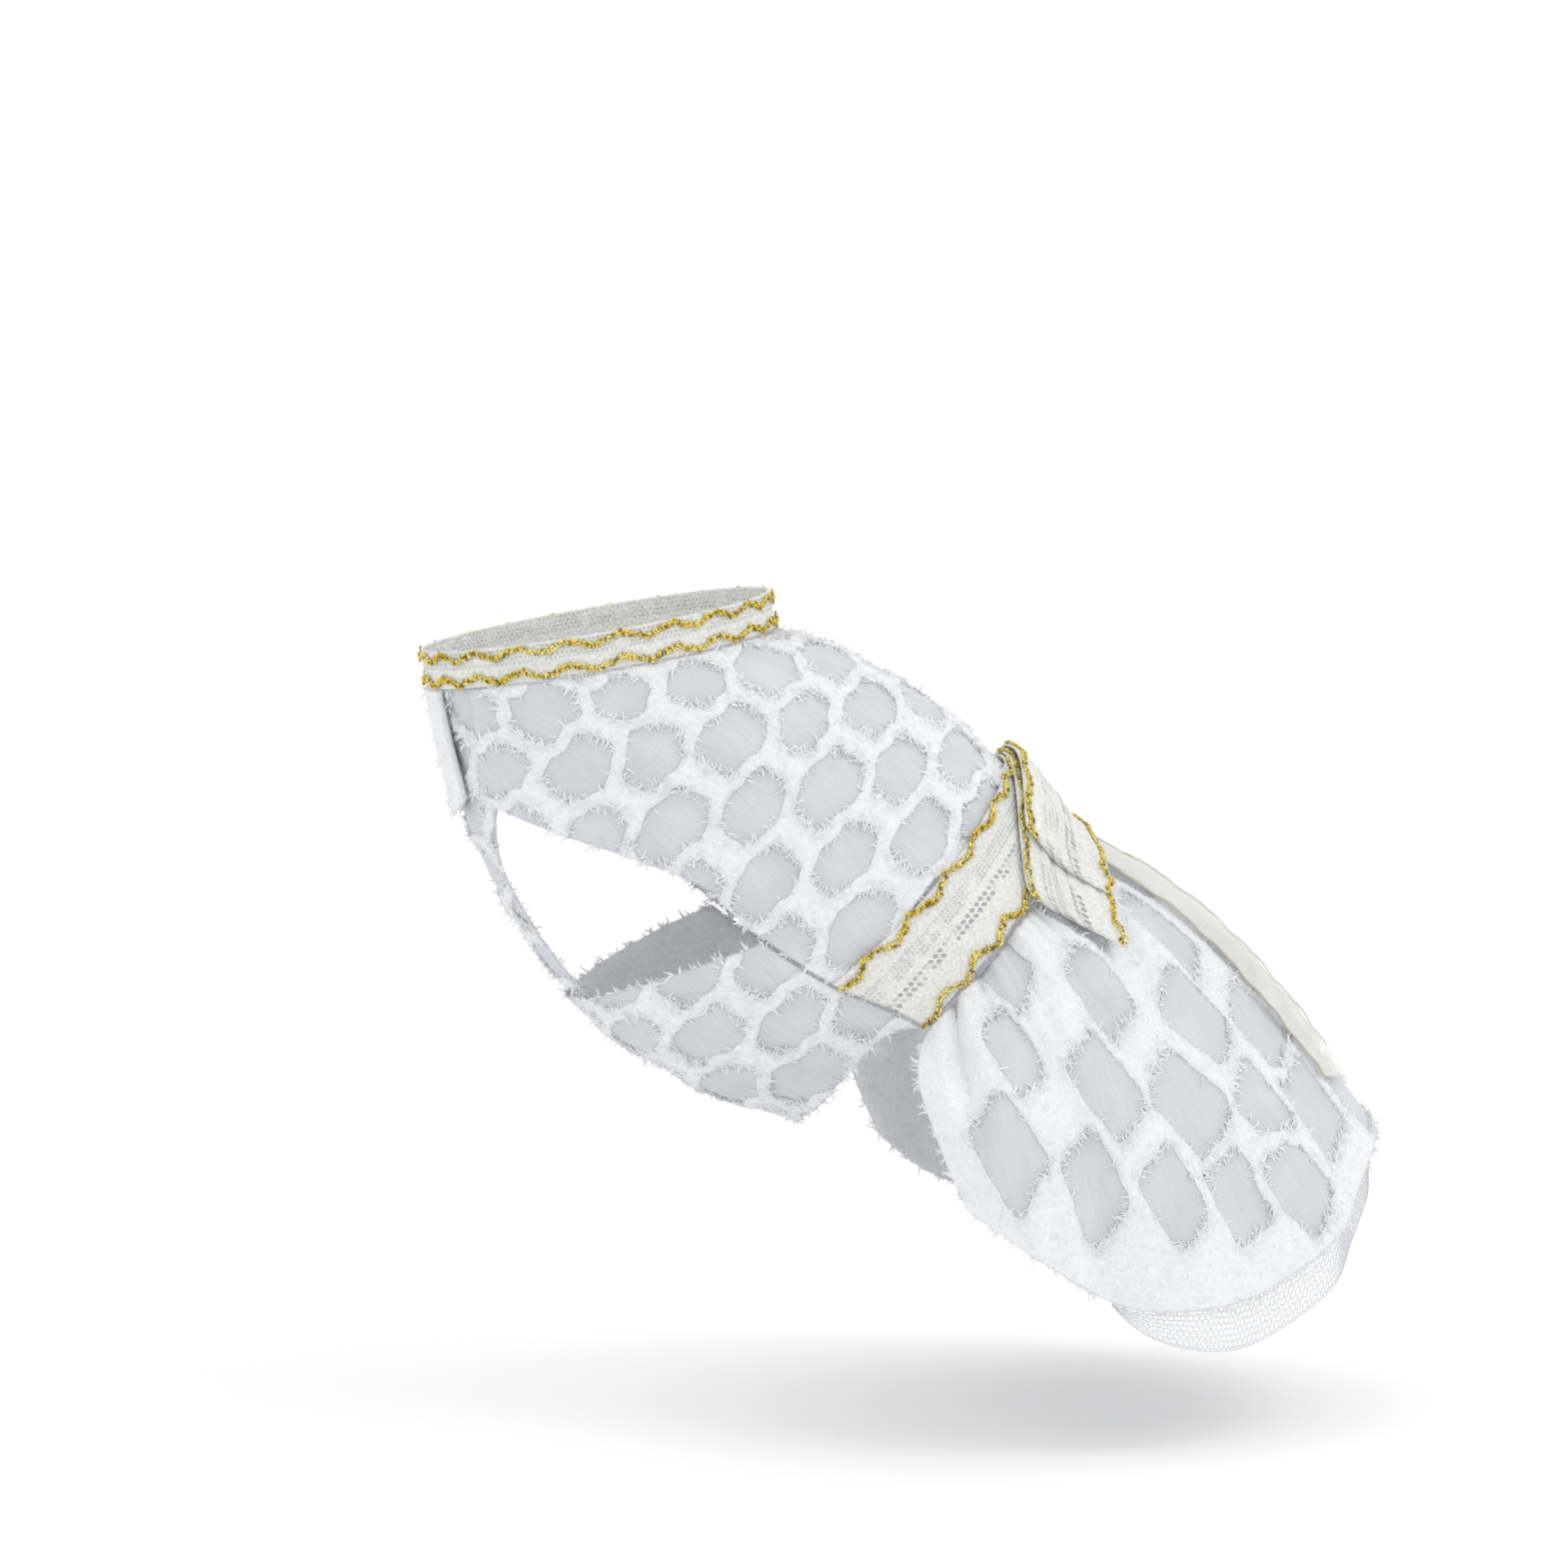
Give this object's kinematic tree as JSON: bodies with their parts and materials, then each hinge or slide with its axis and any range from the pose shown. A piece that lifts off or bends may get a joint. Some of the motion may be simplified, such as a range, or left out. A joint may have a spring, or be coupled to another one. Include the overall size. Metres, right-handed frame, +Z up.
{
  "type": "dog dress",
  "caption": "Small dog's dress with a windowed bodice, lace neck band and belt edged with gold braid, gathered skirt, net underskirt and bow.",
  "frame": {"origin": "inner face of the back panel over the withers, where the dress sits on the wearer's back", "axes": "+Z up, +X towards the skirt's rear, -X towards the neck opening; the wearer's left is -Y"},
  "size_m": [0.3612, 0.1989, 0.2729],
  "materials": {
    "windowed_cloth": "matt chiffon with raised white fringed net",
    "lace": "matt cream lace with small eyelets",
    "gold_braid": "glittering metal yarn",
    "sheer_ribbon": "sheer, soft sheen",
    "net": "open six-sided mesh"
  },
  "bodies": {
    "root": {"bodice_back": "windowed_cloth", "belly_panel": "windowed_cloth", "chest_panel": "windowed_cloth", "front_placket": "windowed_cloth", "skirt": "windowed_cloth", "petticoat": "net", "neck_band": "lace", "waist_belt": "lace", "bow_large_loop": "lace", "bow_small_loop": "lace", "neck_trim_top": "gold_braid", "neck_trim_bottom": "gold_braid", "belt_trim_upper": "gold_braid", "belt_trim_lower": "gold_braid", "tail_left": "sheer_ribbon", "tail_right": "sheer_ribbon"}
  },
  "joints": []
}
